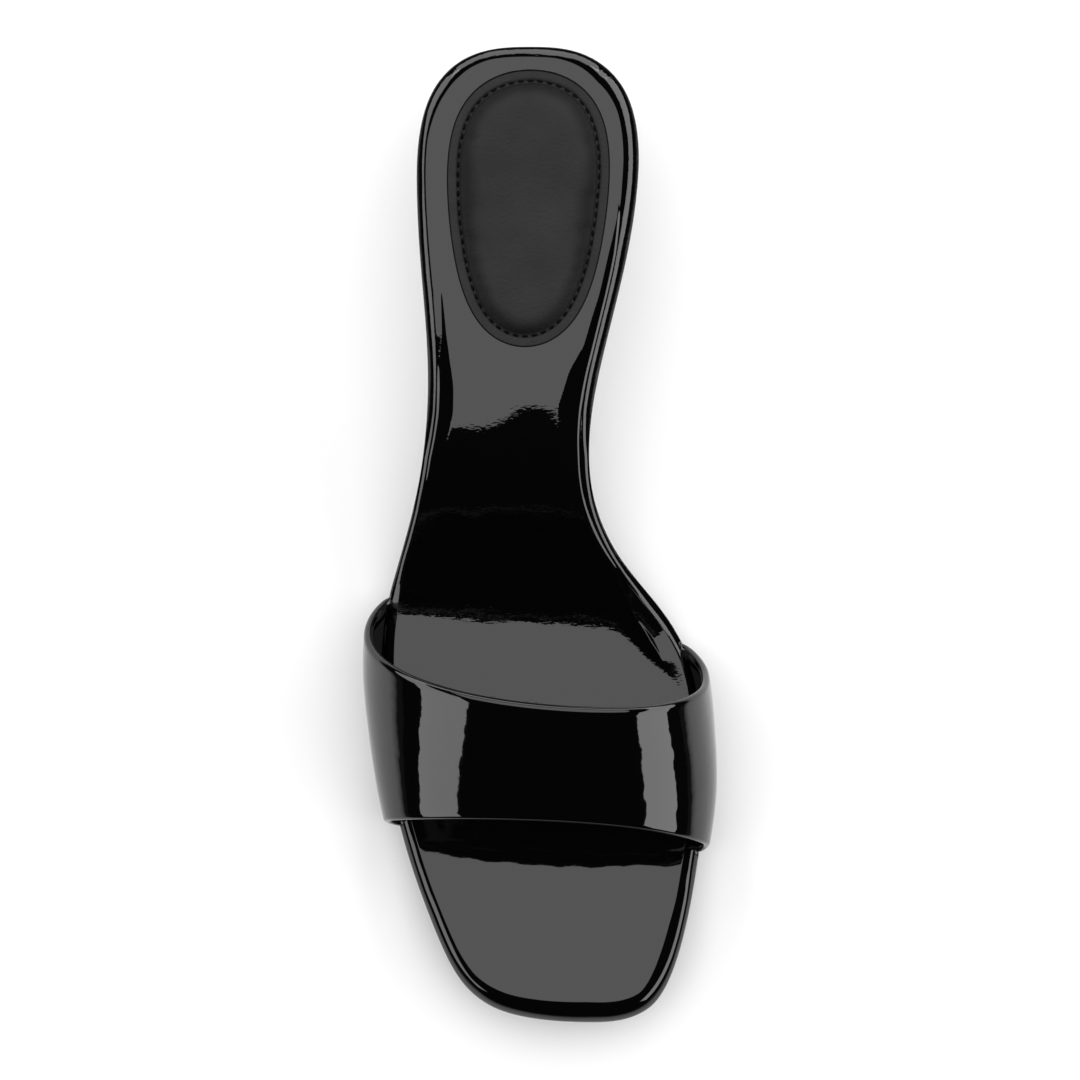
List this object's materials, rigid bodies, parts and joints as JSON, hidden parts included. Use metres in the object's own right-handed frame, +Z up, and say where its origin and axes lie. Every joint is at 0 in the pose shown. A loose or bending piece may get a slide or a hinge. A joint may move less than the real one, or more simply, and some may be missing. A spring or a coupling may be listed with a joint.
{
  "type": "heeled mule",
  "caption": "Backless heeled shoe with a square open toe, one wide glossy strap over the ball of the foot, a padded heel sock and a tapered covered heel.",
  "frame": {"origin": "on the floor, under the middle of the shoe's bounding box", "axes": "+X to the inner (medial) side of the foot, +Y from the toe to the heel, +Z up"},
  "size_m": [0.0874, 0.2384, 0.0504],
  "materials": {
    "patent": "black patent leather, mirror gloss",
    "sock": "matte black leather with a fine grain",
    "sole": "black sole leather, semi matte",
    "tip": "matte black rubber"
  },
  "bodies": {
    "root": {"outsole": "sole", "insole": "patent", "upper": "patent", "heel_pad": "sock", "heel": "patent", "heel_tip": "tip"}
  },
  "joints": []
}
